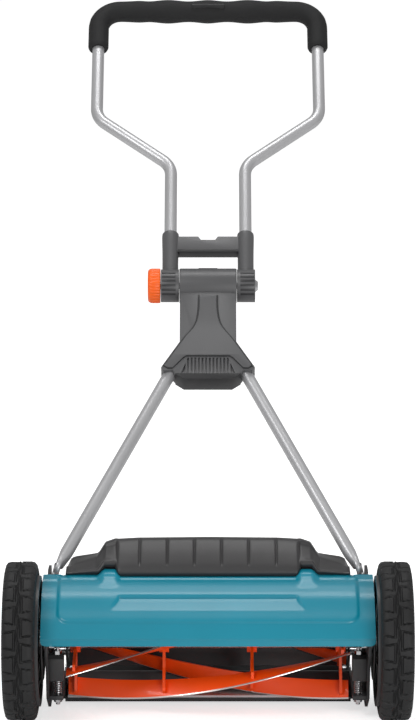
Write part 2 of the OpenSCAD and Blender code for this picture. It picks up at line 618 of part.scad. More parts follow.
bow_path = [[-neck_x, socket_low_l + 6], [-neck_x, elbow_low_l], [-grip_x, elbow_top_l], [-grip_x, handle_len],
    [grip_x, handle_len], [grip_x, elbow_top_l], [neck_x, elbow_low_l], [neck_x, socket_low_l + 6]];
module handle_bow() at_handle() color("silver") swept_tube(bow_path, bow_r, tube_d, tube_d - 2 * tube_wall);
grip_low_l = 950;
module grip() at_handle() color([0.1, 0.1, 0.11]) bent_tube([[-grip_x, grip_low_l], [-grip_x, handle_len],
    [grip_x, handle_len], [grip_x, grip_low_l]], bow_r, grip_d, tube_d + 4 * gap);

// Clamp bolt and the knob that tightens it
bolt_head_x = yoke_out + gap;
knob_in = -yoke_out - 0.8;
knob_out = knob_in - 19;
module clamp_bolt() {
    rod(knob_out + 3, bolt_head_x, bolt_d, 0, fold_l);
    translate([bolt_head_x, 0, fold_l]) rotate([0, 90, 0]) cylinder(h = 4, d1 = 19, d2 = 13);
}
module clamp_knob() at_handle() color([0.95, 0.36, 0.05]) difference() {
    union() {
        rod(knob_out + 3, knob_in, barrel_d, 0, fold_l);
        translate([knob_out, 0, fold_l]) rotate([0, 90, 0]) cylinder(h = 3, d1 = barrel_d - 6, d2 = barrel_d);
        for (a = [0:15:345]) translate([knob_out + 3, 0, fold_l]) rotate([a, 0, 0])
            translate([0, -1.5, barrel_d / 2 - 1]) cube([knob_in - knob_out - 4, 3, 1.6]);
    }
    rod(knob_out + 2.5, knob_in + 1, bolt_d + 2 * run_fit, 0, fold_l);
}
module hinge_bolt() at_handle() color("silver") clamp_bolt();

side_plate_left();
side_plate_right();
top_cover();
rear_hood();
deflector();
tie_rod();
roller_rod();
bedknife_carrier();
bedknife();
bedknife_screws();
carrier_bolts();
adjuster_blocks();
adjuster_screws();
adjuster_springs();
axle_stud_left();
axle_stud_right();
axle_nuts();
bearing_left();
bearing_right();
gear_covers();
cover_screws();
handle_bolts();
handle_tube_left();
handle_tube_right();
bracket_front();
bracket_back();
bracket_screws();
hinge_barrel();
reel_shaft();
spider_1();
spider_2();
spider_3();
spider_4();
blade_1();
blade_2();
blade_3();
blade_4();
blade_5();
pawl_keys();
pinion_left();
pinion_right();
tyre_left();
tyre_right();
rim_left();
rim_right();
ring_gear_left();
ring_gear_right();
hub_bush_left();
hub_bush_right();
hub_cap_left();
hub_cap_right();
roller_bracket_left();
roller_bracket_right();
roller();
roller_axle();
handle_bow();
handle_yoke();
grip();
hinge_bolt();
clamp_knob();
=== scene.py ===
import json
import math
import bpy
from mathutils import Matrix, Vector


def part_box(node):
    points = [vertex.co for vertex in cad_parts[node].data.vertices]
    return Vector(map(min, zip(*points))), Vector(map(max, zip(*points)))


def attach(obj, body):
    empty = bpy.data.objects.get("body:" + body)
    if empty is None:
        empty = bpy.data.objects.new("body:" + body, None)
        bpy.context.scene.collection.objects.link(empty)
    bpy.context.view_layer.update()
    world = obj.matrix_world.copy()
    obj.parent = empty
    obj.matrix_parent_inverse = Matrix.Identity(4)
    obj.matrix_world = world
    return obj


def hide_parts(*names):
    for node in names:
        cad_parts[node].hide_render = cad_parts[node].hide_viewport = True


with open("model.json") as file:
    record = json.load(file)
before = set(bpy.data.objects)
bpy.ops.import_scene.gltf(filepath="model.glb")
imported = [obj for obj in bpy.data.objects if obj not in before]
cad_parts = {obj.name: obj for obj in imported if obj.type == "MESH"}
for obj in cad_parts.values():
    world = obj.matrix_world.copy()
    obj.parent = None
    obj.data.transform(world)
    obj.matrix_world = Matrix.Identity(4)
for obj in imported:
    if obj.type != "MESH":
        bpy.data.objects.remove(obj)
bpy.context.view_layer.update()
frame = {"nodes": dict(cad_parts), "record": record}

NODES = frame["nodes"]
MM = 0.001


def middle(node):
    low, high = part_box(node)
    return (Vector(low) + Vector(high)) / 2


WHEEL_AXIS = middle("tyre_left")
REEL_AXIS = middle("reel_shaft")
FOLD_AXIS = middle("hinge_barrel")
AXLE_Y, AXLE_Z = WHEEL_AXIS.y, WHEEL_AXIS.z
LEAN = math.radians(45)
# The handle plane starts at its base and rises backwards
BASE_Y, BASE_Z = AXLE_Y + 55.8 * MM, 193.8 * MM


# ---- Materials ----
def material(name, colour, rough=0.5, metal=0.0, fleck=0.06, scale=120.0, bump=0.1, depth=0.0004,
             coat=0.0, specular=0.5, grain=None):
    """A finish with uneven colour and roughness and a fine bump, all on Object coordinates."""
    mat = bpy.data.materials.new(name)
    mat.use_nodes = True
    nodes, links = mat.node_tree.nodes, mat.node_tree.links
    shader = nodes["Principled BSDF"]
    shader.inputs["Metallic"].default_value = metal
    shader.inputs["Coat Weight"].default_value = coat
    shader.inputs["Coat Roughness"].default_value = 0.08
    shader.inputs["Specular IOR Level"].default_value = specular
    where = nodes.new("ShaderNodeTexCoord")
    place = nodes.new("ShaderNodeMapping")
    place.inputs["Scale"].default_value = grain or (1, 1, 1)
    links.new(where.outputs["Object"], place.inputs["Vector"])
    noise = nodes.new("ShaderNodeTexNoise")
    noise.inputs["Scale"].default_value = scale
    noise.inputs["Detail"].default_value = 6
    links.new(place.outputs["Vector"], noise.inputs["Vector"])
    broad = nodes.new("ShaderNodeTexNoise")
    broad.inputs["Scale"].default_value = 9
    links.new(where.outputs["Object"], broad.inputs["Vector"])
    tint = nodes.new("ShaderNodeValToRGB")
    tint.color_ramp.elements[0].position = 0.3
    tint.color_ramp.elements[1].position = 0.7
    tint.color_ramp.elements[0].color = [c * (1 - fleck) for c in colour] + [1]
    tint.color_ramp.elements[1].color = [min(c * (1 + fleck), 1) for c in colour] + [1]
    links.new(broad.outputs["Fac"], tint.inputs["Fac"])
    links.new(tint.outputs["Color"], shader.inputs["Base Color"])
    gloss = nodes.new("ShaderNodeMapRange")
    gloss.inputs["To Min"].default_value = max(rough - 0.06, 0.03)
    gloss.inputs["To Max"].default_value = min(rough + 0.06, 1)
    links.new(noise.outputs["Fac"], gloss.inputs["Value"])
    links.new(gloss.outputs["Result"], shader.inputs["Roughness"])
    relief = nodes.new("ShaderNodeBump")
    relief.inputs["Strength"].default_value = bump
    relief.inputs["Distance"].default_value = depth
    links.new(noise.outputs["Fac"], relief.inputs["Height"])
    links.new(relief.outputs["Normal"], shader.inputs["Normal"])
    return mat


def mix_in(mat, mask, colour, rough, metal):
    """Blends another finish into a material where the mask socket is one."""
    nodes, links = mat.node_tree.nodes, mat.node_tree.links
    shader = nodes["Principled BSDF"]
    base = shader.inputs["Base Color"].links[0].from_socket
    blend = nodes.new("ShaderNodeMix")
    blend.data_type = "RGBA"
    links.new(mask, blend.inputs["Factor"])
    links.new(base, blend.inputs[6])
    blend.inputs[7].default_value = (*colour, 1)
    links.new(blend.outputs[2], shader.inputs["Base Color"])
    old = shader.inputs["Roughness"].links[0].from_socket
    soft = nodes.new("ShaderNodeMix")
    links.new(mask, soft.inputs["Factor"])
    links.new(old, soft.inputs[2])
    soft.inputs[3].default_value = rough
    links.new(soft.outputs[0], shader.inputs["Roughness"])
    shine = nodes.new("ShaderNodeMath")
    shine.operation = "MULTIPLY"
    links.new(mask, shine.inputs[0])
    shine.inputs[1].default_value = metal
    links.new(shine.outputs[0], shader.inputs["Metallic"])
    return mat


def ring_mask(mat, centre, low, high):
    """One where a point's distance from an axis along X is over high, zero under low."""
    nodes, links = mat.node_tree.nodes, mat.node_tree.links
    where = nodes.new("ShaderNodeTexCoord")
    flat = nodes.new("ShaderNodeVectorMath")
    flat.operation = "MULTIPLY"
    flat.inputs[1].default_value = (0, 1, 1)
    links.new(where.outputs["Object"], flat.inputs[0])
    far = nodes.new("ShaderNodeVectorMath")
    far.operation = "DISTANCE"
    far.inputs[1].default_value = (0, centre.y, centre.z)
    links.new(flat.outputs["Vector"], far.inputs[0])
    step = nodes.new("ShaderNodeMapRange")
    step.inputs["From Min"].default_value = low
    step.inputs["From Max"].default_value = high
    links.new(far.outputs["Value"], step.inputs["Value"])
    return step.outputs["Result"]


FINISH = {
    "cover_teal": material("cover_teal", (0.0, 0.225, 0.32), 0.34, fleck=0.04, scale=240, bump=0.05, coat=0.1),
    "hood_black": material("hood_black", (0.032, 0.031, 0.032), 0.42, scale=900, bump=0.25),
    "frame_black": material("frame_black", (0.03, 0.03, 0.032), 0.45, scale=500, bump=0.3, metal=0.1),
    "zinc_steel": material("zinc_steel", (0.55, 0.55, 0.56), 0.28, 1.0, 0.12, 300, 0.15),
    "knife_steel": material("knife_steel", (0.62, 0.62, 0.64), 0.3, 0.9, 0.1, 400, 0.15, grain=(0.05, 1, 1)),
    "handle_silver": material("handle_silver", (0.50, 0.50, 0.51), 0.36, 0.55, 0.04, 500, 0.06),
    "joint_grey": material("joint_grey", (0.088, 0.088, 0.091), 0.4, scale=800, bump=0.25),
    "joint_black": material("joint_black", (0.015, 0.015, 0.016), 0.45, scale=800, bump=0.25),
    "blade_orange": material("blade_orange", (0.95, 0.075, 0.0), 0.42, fleck=0.08, scale=260, bump=0.08,
                             coat=0.25),
    "gear_steel": material("gear_steel", (0.26, 0.25, 0.25), 0.45, 0.9, 0.1, 500, 0.3),
    "tyre_black": material("tyre_black", (0.012, 0.012, 0.0125), 0.6, fleck=0.15, scale=420, bump=0.35,
                           specular=0.35),
    "rim_grey": material("rim_grey", (0.04, 0.04, 0.042), 0.4, scale=700, bump=0.2),
    "bush_brass": material("bush_brass", (0.5, 0.32, 0.12), 0.35, 1.0, 0.1, 500, 0.2),
    "roller_black": material("roller_black", (0.035, 0.035, 0.036), 0.5, scale=500, bump=0.3),
    "grip_foam": material("grip_foam", (0.012, 0.012, 0.0125), 0.68, fleck=0.12, scale=1400, bump=0.55,
                          depth=0.0006, specular=0.3),
    "knob_orange": material("knob_orange", (0.95, 0.13, 0.004), 0.33, fleck=0.05, scale=500, bump=0.1),
}
EDGE = ring_mask(FINISH["blade_orange"], REEL_AXIS, 79.6 * MM, 79.9 * MM)
mix_in(FINISH["blade_orange"], EDGE, (0.78, 0.75, 0.72), 0.3, 0.85)

SLOT_OF = {part["node"]: part["material_slot"] for part in frame["record"]["subparts"]}


# ---- Tools for making pieces ----
def deselect():
    if bpy.context.object and bpy.context.object.mode != "OBJECT":
        bpy.ops.object.mode_set(mode="OBJECT")
    bpy.ops.object.select_all(action="DESELECT")


def take(obj):
    deselect()
    obj.select_set(True)
    bpy.context.view_layer.objects.active = obj


def settle(obj, angle=35):
    """Leaves a finished piece at the origin, unturned and unscaled, with soft shading."""
    take(obj)
    if obj.type != "MESH":
        bpy.ops.object.convert(target="MESH")
    bpy.ops.object.transform_apply(location=True, rotation=True, scale=True)
    bpy.ops.object.shade_smooth_by_angle(angle=math.radians(angle))
    return obj


def tidy_mesh(obj, merge=0.00001):
    take(obj)
    bpy.ops.object.mode_set(mode="EDIT")
    bpy.ops.mesh.select_all(action="SELECT")
    bpy.ops.mesh.remove_doubles(threshold=merge)
    bpy.ops.mesh.normals_make_consistent(inside=False)
    bpy.ops.object.mode_set(mode="OBJECT")


def use(obj, kind, name, **settings):
    take(obj)
    mod = obj.modifiers.new(name, kind)
    for key, value in settings.items():
        setattr(mod, key, value)
    bpy.ops.object.modifier_apply(modifier=name)


def stand_for(obj, body, slot_name, *nodes):
    obj.data.materials.clear()
    obj.data.materials.append(FINISH[slot_name])
    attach(obj, body)
    if nodes:
        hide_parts(*nodes)
    return obj


def body_named(node):
    for body, nodes in frame["record"]["behaviour"]["bodies"].items():
        if node in nodes:
            return body


def eased_copy(node, width, segments=2, limit=40, angle=35):
    """A copy of a CAD node with its flat faces cleaned and its edges eased, standing for that node."""
    source = NODES[node]
    obj = bpy.data.objects.new(node + "_eased", source.data.copy())
    bpy.context.scene.collection.objects.link(obj)
    take(obj)
    bpy.ops.object.mode_set(mode="EDIT")
    bpy.ops.mesh.select_all(action="SELECT")
    bpy.ops.mesh.remove_doubles(threshold=0.00001)
    bpy.ops.mesh.dissolve_limited(angle_limit=math.radians(0.5))
    bpy.ops.object.mode_set(mode="OBJECT")
    use(obj, "BEVEL", "ease", width=width, segments=segments, limit_method="ANGLE",
        angle_limit=math.radians(limit), use_clamp_overlap=True, harden_normals=False)
    return stand_for(settle(obj, angle), body_named(node), SLOT_OF[node], node)


def dress_cad_nodes():
    """Every CAD node that stays gets the finish of its slot."""
    for name, obj in NODES.items():
        obj.data.materials.clear()
        obj.data.materials.append(FINISH[SLOT_OF[name]])
        take(obj)
        bpy.ops.object.shade_smooth_by_angle(angle=math.radians(30))


# ---- Camera, light and floor ----
CAMERA_BACK, CAMERA_HEIGHT = 4.2798, 1.5036
CAMERA_DIP, CAMERA_LENS = 12.9, 157.35
SKY_ON_PIECES, FLOOR_LIFT = 0.42, 0.62


def camera():
    data = bpy.data.cameras.new("camera")
    data.sensor_width = 36
    data.lens = CAMERA_LENS
    obj = bpy.data.objects.new("camera", data)
    obj.location = (0, AXLE_Y - CAMERA_BACK, CAMERA_HEIGHT)
    obj.rotation_euler = (math.radians(90 - CAMERA_DIP), 0, 0)
    bpy.context.scene.collection.objects.link(obj)
    bpy.context.scene.camera = obj


def lamp(name, place, target, size, power):
    data = bpy.data.lights.new(name, "AREA")
    data.shape = "RECTANGLE"
    data.size, data.size_y = size
    data.energy = power
    obj = bpy.data.objects.new(name, data)
    obj.location = place
    obj.rotation_euler = (Vector(target) - Vector(place)).to_track_quat("-Z", "Y").to_euler()
    bpy.context.scene.collection.objects.link(obj)


def studio():
    lamp("key", (-1.8, -2.6, 3.0), (0, 0, 0.4), (1.2, 1.2), 44)
    lamp("fill", (1.4, -3.4, 0.9), (0, 0, 0.2), (1.2, 1.2), 36)
    lamp("top", (0, 0.6, 3.4), (0, 0, 0.3), (2.0, 0.9), 34)
    world = bpy.data.worlds.new("studio")
    world.use_nodes = True
    nodes, links = world.node_tree.nodes, world.node_tree.links
    back = nodes["Background"]
    path = nodes.new("ShaderNodeLightPath")
    mix = nodes.new("ShaderNodeMapRange")
    mix.inputs["To Min"].default_value = SKY_ON_PIECES
    mix.inputs["To Max"].default_value = 1.0
    links.new(path.outputs["Is Camera Ray"], mix.inputs["Value"])
    links.new(mix.outputs["Result"], back.inputs["Strength"])
    back.inputs["Color"].default_value = (1, 1, 1, 1)
    bpy.context.scene.world = world
    bpy.context.scene.view_settings.view_transform = "Standard"


def pale_floor():
    deselect()
    bpy.ops.mesh.primitive_plane_add(size=40, location=(0, 0, -0.0005))
    floor = bpy.context.object
    floor.name = "floor"
    mat = bpy.data.materials.new("floor")
    mat.use_nodes = True
    nodes, links = mat.node_tree.nodes, mat.node_tree.links
    shader = nodes["Principled BSDF"]
    shader.inputs["Base Color"].default_value = (0.93, 0.93, 0.93, 1)
    shader.inputs["Roughness"].default_value = 0.9
    shader.inputs["Emission Color"].default_value = (1, 1, 1, 1)
    path = nodes.new("ShaderNodeLightPath")
    lift = nodes.new("ShaderNodeMath")
    lift.operation = "MULTIPLY"
    lift.inputs[1].default_value = FLOOR_LIFT
    links.new(path.outputs["Is Camera Ray"], lift.inputs[0])
    links.new(lift.outputs[0], shader.inputs["Emission Strength"])
    floor.data.materials.append(mat)


# ---- Shapes that several pieces share ----
def loft(name, rings, wrap=True, caps=True):
    """A sheet or tube through rings of points, made from a grid."""
    deselect()
    along, round_it = len(rings) - 1, len(rings[0]) - (0 if wrap else 1)
    bpy.ops.mesh.primitive_grid_add(x_subdivisions=along, y_subdivisions=round_it, size=2)
    obj = bpy.context.object
    obj.name = name
    for vert in obj.data.vertices:
        i = round((vert.co.x + 1) / 2 * along)
        j = round((vert.co.y + 1) / 2 * round_it) % len(rings[0])
        vert.co = rings[i][j]
    tidy_mesh(obj)
    if caps:
        bpy.ops.object.mode_set(mode="EDIT")
        bpy.ops.mesh.select_all(action="SELECT")
        bpy.ops.mesh.fill_holes(sides=0)
        bpy.ops.mesh.normals_make_consistent(inside=False)
        bpy.ops.object.mode_set(mode="OBJECT")
    return obj


def ease(value, low, high):
    """Zero below low, one above high, smooth between."""
    t = min(max((value - low) / (high - low), 0), 1)
    return t * t * (3 - 2 * t)


def between(value, low, high, soft):
    return ease(value, low - soft, low) * (1 - ease(value, high, high + soft))


def along_line(points, value):
    """The second number of a list of pairs, read at a first number."""
    for (a, p), (b, q) in zip(points, points[1:]):
        if value <= b:
            return p + (q - p) * max((value - a) / (b - a), 0)
    return points[-1][1]


def rounded(points, steps=8):
    """A smooth curve through points (Catmull-Rom)."""
    ends = [points[0]] + points + [points[-1]]
    line = []
    for a, b, c, d in zip(ends, ends[1:], ends[2:], ends[3:]):
        for k in range(steps):
            t = k / steps
            line.append(0.5 * (2 * b + (c - a) * t + (2 * a - 5 * b + 4 * c - d) * t * t
                               + (3 * b - a - 3 * c + d) * t ** 3))
    return line + [points[-1]]


def on_handle(x, out, up):
    """A point by the handle's own plane: out goes back and down off it, up runs along the handle."""
    return Vector((x, BASE_Y + out * math.cos(LEAN) + up * math.sin(LEAN),
                   BASE_Z - out * math.sin(LEAN) + up * math.cos(LEAN)))


def bent_path(corners, bend, steps=10):
    """Points of a flat path (across, up) whose corners are bent to one radius."""
    line = [Vector(corners[0])]
    for a, p, b in zip(corners, corners[1:], corners[2:]):
        u, v = (Vector(p) - Vector(a)).normalized(), (Vector(b) - Vector(p)).normalized()
        turn = math.asin(u.x * v.y - u.y * v.x)
        side = math.copysign(1, turn)
        start = Vector(p) - bend * math.tan(abs(turn) / 2) * u
        centre = start + side * bend * Vector((-u.y, u.x))
        arm = start - centre
        for k in range(steps + 1):
            c, s = math.cos(turn * k / steps), math.sin(turn * k / steps)
            line.append(centre + Vector((arm.x * c - arm.y * s, arm.x * s + arm.y * c)))
    return line + [Vector(corners[-1])]


def spaced(line, step):
    """The same path with points no further apart than step."""
    out = [line[0]]
    for a, b in zip(line, line[1:]):
        count = max(1, math.ceil((b - a).length / step))
        out += [a.lerp(b, (k + 1) / count) for k in range(count)]
    return out


def handle_sweep(name, line, section, sides=32):
    """A tube along a path in the handle's plane; section gives (in-plane, out) half sizes by point."""
    rings = []
    travelled = 0
    for i, p in enumerate(line):
        ahead, behind = line[min(i + 1, len(line) - 1)], line[max(i - 1, 0)]
        if i:
            travelled += (p - line[i - 1]).length
        way = (ahead - behind).normalized()
        flat, out = section(travelled, p)
        ring = []
        for k in range(sides):
            a = 2 * math.pi * k / sides
            shift = flat * math.cos(a)
            ring.append(on_handle(p.x - way.y * shift, out * math.sin(a), p.y + way.x * shift))
        rings.append(ring)
    return loft(name, rings)


# ---- Sheet cover over the reel ----
COVER_LINE = [(50, 195.7), (20, 193), (-6, 182), (-24, 167), (-40, 155.5), (-60, 134.6), (-62, 124.4)]
COVER_HALF = 236
COVER_SHEET = 1.6


def cover_relief(x, s):
    """Height of the pressing in mm at a place across, and down the sheet from its rear edge."""
    x = abs(x)
    tab = 8.5 * ease(x, 124, 134) * (1 - ease(x, 147, 160)) * (1 - ease(s, 4, 44))
    panel_half = 125 + 10 * ease(s, 58, 82)
    panel = -3.6 * (1 - ease(x, panel_half, panel_half + 3)) * ease(s, 57, 60) * max(0, 1 - (s - 60) / 24)
    bottom = 101.5
    corner = 14
    dx, ds = max(x - (211 - corner), 0), max(s - (bottom - corner), 0)
    edge = math.hypot(dx, ds) - corner if dx and ds else max(x - 211, s - bottom)
    field = 2.4 * (1 - ease(edge, -1, 3.5))
    crease = -1.2 * between(abs(x - 205 + 0.55 * (s - 4)), -2, 1, 3) * (1 - ease(s, 12, 22))
    wall = -1.5 * ease(s, 128.5, 131)
    return tab + panel + field * ease(s, 0, 20) + crease + wall


def top_cover():
    base = [Vector((0, AXLE_Y + y * MM, z * MM)) for y, z in COVER_LINE]
    eased = []
    for a, p, b in zip(base, base[1:], base[2:]):
        cut = min(0.009, (p - a).length / 2.2, (b - p).length / 2.2)
        if p.z < 0.14:
            cut = 0.0025
        start, end = p + (a - p).normalized() * cut, p + (b - p).normalized() * cut
        eased += [start.lerp(p, t).lerp(p.lerp(end, t), t) for t in (0, 0.25, 0.5, 0.75, 1)]
    line = spaced([base[0]] + eased + [base[-1]], 0.0015)
    across = [x * 2 - COVER_HALF for x in range(COVER_HALF + 1)]
    rings = []
    depth = [0]
    for a, b in zip(line, line[1:]):
        depth.append(depth[-1] + (b - a).length / MM)
    for x in across:
        ring = []
        for k, p in enumerate(line):
            way = (line[min(k + 1, len(line) - 1)] - line[max(k - 1, 0)]).normalized()
            out = Vector((0, way.z, -way.y))
            lift = (cover_relief(x, depth[k]) - 2.6 * ease(depth[k], 14, 22)) * MM
            near = depth[-1] - depth[k]
            round_off = 7 - math.sqrt(max(49 - max(7 - near, 0) ** 2, 0))
            side = x * (COVER_HALF - round_off) / COVER_HALF if abs(x) > 220 else x
            ring.append(p + out * lift + Vector((side * MM, 0, 0)))
        rings.append(ring)
    obj = loft("top_cover_pressing", rings, wrap=False, caps=False)
    use(obj, "SOLIDIFY", "sheet", thickness=COVER_SHEET * MM, offset=0)
    tidy_mesh(obj)
    return stand_for(settle(obj, 50), "mower_frame", "cover_teal", "top_cover")


# ---- Plastic hood behind the cover ----
HOOD_TOP = [(0, 240), (100, 239), (134, 237), (147, 232), (160, 212), (190, 203), (198, 198), (204, 186)]
HOOD_GROOVES = (19.5, 58.5, 98)


def hood_lip(x):
    """Where the front lower edge of the hood lies, in Y and Z: it steps back over the cover's tabs."""
    notch = ease(x, 127, 133) * (1 - ease(x, 148, 158))
    outer = ease(x, 148, 158)
    return 37 + 9 * outer + 13 * notch, 199.5 - 0.5 * outer + 9 * notch


def rear_hood():
    rings = []
    for step in range(-204, 205):
        x = abs(step)
        top = along_line(HOOD_TOP, x)
        lip_y, lip_z = hood_lip(x)
        rise = max(top - lip_z, 1)
        low = top - 72 if top > 225 else top - 30
        front = [(lip_y + 2.5, lip_z - 1), (lip_y, lip_z + min(3, rise / 4)),
                 (lip_y + 1.5, lip_z + min(7, rise / 3)), (lip_y + 9, lip_z + rise * 0.38),
                 (lip_y + 30, lip_z + rise * 0.78)]
        back = [(86, top), (107, top - rise * 0.22), (122, min(top - rise * 0.6, 206)),
                (129, min(low + 20, 176)), (131, 150), (131, 128)]
        shape = front + back
        line = rounded([Vector((0, AXLE_Y + y * MM, z * MM)) for y, z in shape], 5)
        groove = max(1 - ease(abs(x - g), 0.8, 2.6) for g in HOOD_GROOVES)
        ring = []
        for k, p in enumerate(line):
            way = (line[min(k + 1, len(line) - 1)] - line[max(k - 1, 0)]).normalized()
            out = Vector((0, way.z, -way.y))
            deep = 1.9 * groove * (ease(k, 13, 15) - ease(k, 24, 26)) * MM
            ring.append(p + out * deep + Vector((step * MM, 0, 0)))
        rings.append(ring)
    obj = loft("rear_hood_shell", rings, wrap=False, caps=False)
    use(obj, "SOLIDIFY", "wall", thickness=2.5 * MM, offset=0)
    tidy_mesh(obj)
    return stand_for(settle(obj, 50), "mower_frame", "hood_black", "rear_hood")


# ---- Tyres ----
LUGS = 20
TREAD_STEPS = 26
TREAD_R, SEAT_R = 113, 93.2
GROOVE_DEEP = 2.6


def tread_depth(turn, w):
    """Groove depth in mm at a place along one lug pitch (0 to 1) and across the tread (-1 to 1)."""
    side = 1 if w > 0 else -1
    place = (turn + (0.5 if side > 0 else 0)) % 1
    edge = abs(w)
    half = 0.36 - 0.12 * (edge - 0.3)
    outline = max(abs(place - 0.5) - half, (0.2 - edge) * 0.55)
    groove = 1 - ease(abs(outline), 0.018, 0.05)
    groove *= 1 - ease(edge, 0.86, 0.98)
    channel = (1 - ease(abs(w - 0.05 * math.sin(2 * math.pi * turn)), 0.03, 0.07)) * 0.8
    return GROOVE_DEEP * max(groove if edge > 0.12 else 0, channel) + 0.5 * (1 - ease(outline, -0.03, 0.03))


def tyre(side, node, body):
    low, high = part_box(node)
    inner, outer = (high[0], low[0]) if side < 0 else (low[0], high[0])
    half = (outer - inner) / 2
    centre = (outer + inner) / 2
    shape = [(-1, 96), (-0.985, 103), (-0.93, 108.5), (-0.8, 112), (-0.6, TREAD_R)]
    rows = [(w, r) for w, r in shape] + [(-0.6 + k * 1.2 / 24, TREAD_R) for k in range(1, 24)] \
        + [(-w, r) for w, r in reversed(shape)]
    rings = []
    count = LUGS * TREAD_STEPS
    for i in range(count):
        angle = 2 * math.pi * i / count
        ring = [Vector((centre - half * 0.94, 0, SEAT_R * MM))]
        for w, r in rows:
            deep = tread_depth(i / TREAD_STEPS % 1, w) * ease(r, 103, 111)
            ring.append(Vector((centre + half * w, 0, (r - deep) * MM)))
        ring.append(Vector((centre + half * 0.94, 0, SEAT_R * MM)))
        rings.append([Vector((p.x, AXLE_Y + p.z * math.sin(angle), AXLE_Z + p.z * math.cos(angle)))
                      for p in ring])
    rings.append(rings[0])
    obj = loft(node + "_treaded", rings, wrap=True, caps=False)
    return stand_for(settle(obj, 40), body, "tyre_black", node)


# ---- Handle ----
GRIP_X, NECK_X, HANDLE_TOP = 175, 57.5, 1026
BEND = 35
TUBE_R = 9.5
LEG_SLOPE, STRAP_X, STRAP_Y = 0.4846, 222, 68


def metres(points):
    return [Vector((x * MM, z * MM)) for x, z in points]


def handle_bow():
    half = [(-NECK_X, 532), (-NECK_X, 721), (-GRIP_X, 814), (-GRIP_X, HANDLE_TOP)]
    corners = metres(half + [(-x, z) for x, z in reversed(half)])
    line = spaced(bent_path(corners, BEND * MM), 0.03)
    obj = handle_sweep("handle_bow_tube", line, lambda s, p: (TUBE_R * MM, TUBE_R * MM), 40)
    return stand_for(settle(obj), "upper_handle", "handle_silver", "handle_bow")


def foam_grip():
    corners = metres([(-GRIP_X, 950), (-GRIP_X, HANDLE_TOP), (GRIP_X, HANDLE_TOP), (GRIP_X, 950)])
    line = spaced(bent_path(corners, BEND * MM, 14), 0.004)
    total = sum((b - a).length for a, b in zip(line, line[1:]))

    def section(s, p):
        near_end = min(s, total - s)
        swell = 16.2
        if p.y > 1.0:
            x = abs(p.x) / MM
            waves = 1.2 * math.cos(2 * math.pi * (x - 64) / 66) * (1 - ease(x, 90, 120))
            swell = 18 + waves - 1.4 * ease(x, 100, 140)
        size = (swell - 1.6 * (1 - ease(near_end, 0, 0.004))) * MM
        return size, size * 0.97

    obj = handle_sweep("grip_foam_tube", line, section, 40)
    return stand_for(settle(obj, 60), "upper_handle", "grip_foam", "grip")


def badge_pad():
    """A bare pad on the front of the grip, at its middle."""
    deselect()
    bpy.ops.mesh.primitive_cube_add(size=1)
    obj = bpy.context.object
    obj.name = "grip_badge_pad"
    obj.scale = (0.052, 0.003, 0.011)
    bpy.ops.object.transform_apply(scale=True)
    use(obj, "BEVEL", "ease", width=0.0013, segments=3)
    dip = math.radians(13)
    obj.rotation_euler = (-LEAN + math.pi / 2 - dip, 0, 0)
    obj.location = on_handle(0, -18.3 * math.cos(dip) * MM, (HANDLE_TOP - 18.3 * math.sin(dip)) * MM)
    return stand_for(settle(obj), "upper_handle", "joint_black")


def handle_tube(side, node):
    """Leg of the handle with its lower end pressed flat and bolted to the side plate."""
    top, low = 384, 12
    line = [on_handle(side * (35 + LEG_SLOPE * (385 - l)) * MM, 0, l * MM) for l in range(top, low - 1, -12)]
    flat_x = side * STRAP_X * MM
    line += [Vector((side * 219.6 * MM, AXLE_Y + 68.6 * MM, 196.5 * MM))]
    line += [Vector((flat_x, AXLE_Y + STRAP_Y * MM, z * MM)) for z in (188, 182, 176, 166, 156, 149, 144, 141)]
    line = spaced(rounded(line, 3), 0.004)
    rings = []
    for i, p in enumerate(line):
        way = (line[min(i + 1, len(line) - 1)] - line[max(i - 1, 0)]).normalized()
        wide = way.cross(Vector((1, 0, 0))).normalized()
        thin = wide.cross(way).normalized()
        flat = ease(0.222 - p.z, 0, 0.026)
        end = ease(p.z, 0.1405, 0.150)
        a = (TUBE_R + 1.6 * flat) * (0.35 + 0.65 * end) * MM
        b = (TUBE_R - 6.2 * flat) * MM
        power = 1 - 0.55 * flat
        ring = []
        for k in range(32):
            c, s = math.cos(2 * math.pi * k / 32), math.sin(2 * math.pi * k / 32)
            ring.append(p + wide * a * math.copysign(abs(c) ** power, c)
                        + thin * b * math.copysign(abs(s) ** power, s))
        rings.append(ring)
    obj = loft(node + "_pressed", rings)
    return stand_for(settle(obj, 45), "mower_frame", "handle_silver", node)


# ---- Reel ----
REEL_R, BLADE_LONG, BLADE_TWIST = 82, 402, 98
FIRST_BLADE, BLADE_LEAN = 222.8, 15


def blade(number):
    """A helical strip with a ground edge, in the place of its CAD strip."""
    length, steps = BLADE_LONG, 134
    lean = math.radians(BLADE_LEAN)
    section = [(0, 0), (28, 0), (28, -2.6), (4.5, -2.6), (0.6, -0.9)]
    rings = []
    for i in range(steps + 1):
        x = -length / 2 + length * i / steps
        angle = math.radians(FIRST_BLADE + number * 72 - x * BLADE_TWIST / length)
        ring = []
        for along, out in section:
            u = REEL_R - along * math.cos(lean) + out * math.sin(lean)
            v = along * math.sin(lean) + out * math.cos(lean)
            ring.append(Vector((x * MM, REEL_AXIS.y + (u * math.cos(angle) - v * math.sin(angle)) * MM,
                                REEL_AXIS.z + (u * math.sin(angle) + v * math.cos(angle)) * MM)))
        rings.append(ring)
    node = f"blade_{number + 1}"
    obj = loft(node + "_strip", rings)
    return stand_for(settle(obj, 30), "reel", "blade_orange", node)


